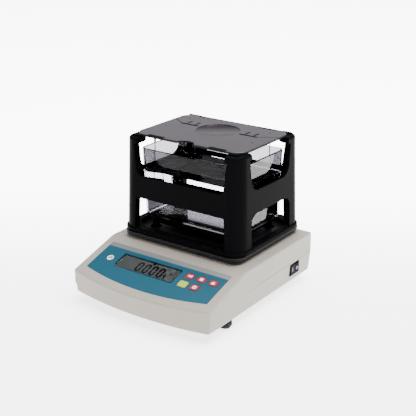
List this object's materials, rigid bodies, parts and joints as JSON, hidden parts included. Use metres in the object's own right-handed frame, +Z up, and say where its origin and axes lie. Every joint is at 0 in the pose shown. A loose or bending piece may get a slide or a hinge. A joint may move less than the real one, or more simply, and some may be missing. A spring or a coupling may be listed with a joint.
{
  "type": "benchtop density meter",
  "caption": "Benchtop density meter: a grey electronic balance with a teal sloped panel, carrying an open black frame over a clear water tank with a weighing basket",
  "frame": {"origin": "on the bench under the middle of the instrument", "axes": "+Z up, +X to the right seen from the display side, +Y to the back"},
  "size_m": [0.197, 0.2297, 0.189],
  "materials": {
    "case_grey": "fine-textured moulded ABS",
    "panel_teal": "printed polyester overlay, satin",
    "window_clear": "clear display window, tinted",
    "lcd_dark": "liquid-crystal glass in a dark frame",
    "board_green": "solder-masked circuit board",
    "steel": "stainless steel",
    "aluminium": "machined aluminium",
    "brass": "turned brass",
    "black_plastic": "black moulded ABS, satin",
    "board_smoke": "dark grey glossy moulding",
    "tank_clear": "clear acrylic, faintly smoky",
    "rubber": "black rubber",
    "key_red": "domed key, satin gloss",
    "key_yellow": "domed key, satin gloss",
    "rocker_grey": "moulded rocker",
    "vial_white": "white vial case",
    "cable_grey": "flat ribbon cable"
  },
  "bodies": {
    "base": {"bottom_tub": "case_grey", "top_cover": "case_grey", "cover_screws": "steel", "panel_overlay": "panel_teal", "display_window": "window_clear", "display_module": "lcd_dark", "display_board": "board_green", "display_screws": "steel", "key_switches": "black_plastic", "level_vial": "vial_white", "main_board": "board_green", "main_board_screws": "steel", "ribbon_cable": "cable_grey", "load_cell_block": "aluminium", "load_cell": "aluminium", "load_cell_screws": "steel", "overload_stop": "steel", "foot_nuts": "brass", "switch_body": "black_plastic", "dc_inlet": "black_plastic", "serial_port": "steel", "port_screws": "steel", "tank_stand": "black_plastic", "stand_pads": "rubber"},
    "pan": {"pan_support": "aluminium", "support_screws": "steel", "pan_tray": "black_plastic"},
    "frame": {"measuring_frame": "black_plastic"},
    "board": {"measuring_board": "board_smoke", "hanger_rods": "steel", "basket": "black_plastic"},
    "tank": {"water_tank": "tank_clear"},
    "rocker": {"rocker": "rocker_grey"},
    "key_1": {"key_1": "key_red"},
    "key_2": {"key_2": "key_red"},
    "key_3": {"key_3": "key_red"},
    "key_4": {"key_4": "key_yellow"},
    "key_5": {"key_5": "key_red"},
    "foot_pad_front_left": {"foot_pad_front_left": "rubber"},
    "foot_screw_front_left": {"foot_screw_front_left": "black_plastic"},
    "foot_pad_back_left": {"foot_pad_back_left": "rubber"},
    "foot_screw_back_left": {"foot_screw_back_left": "black_plastic"},
    "foot_pad_front_right": {"foot_pad_front_right": "rubber"},
    "foot_screw_front_right": {"foot_screw_front_right": "black_plastic"},
    "foot_pad_back_right": {"foot_pad_back_right": "rubber"},
    "foot_screw_back_right": {"foot_screw_back_right": "black_plastic"}
  },
  "joints": [
    {"name": "key_1_press", "type": "slide", "parent": "base", "child": "key_1", "axis": [0, 0.2911, -0.9567], "range_m": [0, 0.0004], "stiffness_N_per_m": 1000, "springref_m": -0.0004},
    {"name": "key_2_press", "type": "slide", "parent": "base", "child": "key_2", "axis": [0, 0.2911, -0.9567], "range_m": [0, 0.0004], "stiffness_N_per_m": 1000, "springref_m": -0.0004},
    {"name": "key_3_press", "type": "slide", "parent": "base", "child": "key_3", "axis": [0, 0.2911, -0.9567], "range_m": [0, 0.0004], "stiffness_N_per_m": 1000, "springref_m": -0.0004},
    {"name": "key_4_press", "type": "slide", "parent": "base", "child": "key_4", "axis": [0, 0.2911, -0.9567], "range_m": [0, 0.0004], "stiffness_N_per_m": 1000, "springref_m": -0.0004},
    {"name": "key_5_press", "type": "slide", "parent": "base", "child": "key_5", "axis": [0, 0.2911, -0.9567], "range_m": [0, 0.0004], "stiffness_N_per_m": 1000, "springref_m": -0.0004},
    {"name": "rocker_tip", "type": "hinge", "parent": "base", "child": "rocker", "pos_m": [0.0942, 0.0741, 0.0271], "axis": [0, 0, 1], "range_deg": [0, 14]},
    {"name": "foot_height_front_left", "type": "slide", "parent": "base", "child": "foot_pad_front_left", "axis": [0, 0, 1], "range_m": [0, 0.0035]},
    {"name": "foot_turn_front_left", "type": "hinge", "parent": "foot_pad_front_left", "child": "foot_screw_front_left", "pos_m": [-0.085, -0.0554, 0.005], "axis": [0, 0, 1], "range_deg": [0, 1260]},
    {"name": "foot_height_back_left", "type": "slide", "parent": "base", "child": "foot_pad_back_left", "axis": [0, 0, 1], "range_m": [0, 0.0035]},
    {"name": "foot_turn_back_left", "type": "hinge", "parent": "foot_pad_back_left", "child": "foot_screw_back_left", "pos_m": [-0.0665, 0.0941, 0.005], "axis": [0, 0, 1], "range_deg": [0, 1260]},
    {"name": "foot_height_front_right", "type": "slide", "parent": "base", "child": "foot_pad_front_right", "axis": [0, 0, 1], "range_m": [0, 0.0035]},
    {"name": "foot_turn_front_right", "type": "hinge", "parent": "foot_pad_front_right", "child": "foot_screw_front_right", "pos_m": [0.085, -0.0554, 0.005], "axis": [0, 0, 1], "range_deg": [0, 1260]},
    {"name": "foot_height_back_right", "type": "slide", "parent": "base", "child": "foot_pad_back_right", "axis": [0, 0, 1], "range_m": [0, 0.0035]},
    {"name": "foot_turn_back_right", "type": "hinge", "parent": "foot_pad_back_right", "child": "foot_screw_back_right", "pos_m": [0.0665, 0.0941, 0.005], "axis": [0, 0, 1], "range_deg": [0, 1260]},
    {"name": "pan_float", "type": "slide", "parent": "base", "child": "pan", "axis": [0, 0, -1], "range_m": [0, 0.0005], "stiffness_N_per_m": 10000, "springref_m": -0.0005, "deforming": ["load_cell"]},
    {"name": "frame_lift", "type": "slide", "parent": "pan", "child": "frame", "axis": [0, 0, 1], "range_m": [0, 0.11]},
    {"name": "board_lift", "type": "slide", "parent": "frame", "child": "board", "axis": [0, 0, 1], "range_m": [0, 0.09]},
    {"name": "tank_lift", "type": "slide", "parent": "base", "child": "tank", "axis": [0, 0, 1], "range_m": [0, 0.006]}
  ],
  "couplings": [
    {"joint": "foot_turn_front_left", "follows": "foot_height_front_left", "rad_per_m": 6283.2},
    {"joint": "foot_turn_back_left", "follows": "foot_height_back_left", "rad_per_m": 6283.2},
    {"joint": "foot_turn_front_right", "follows": "foot_height_front_right", "rad_per_m": 6283.2},
    {"joint": "foot_turn_back_right", "follows": "foot_height_back_right", "rad_per_m": 6283.2}
  ]
}
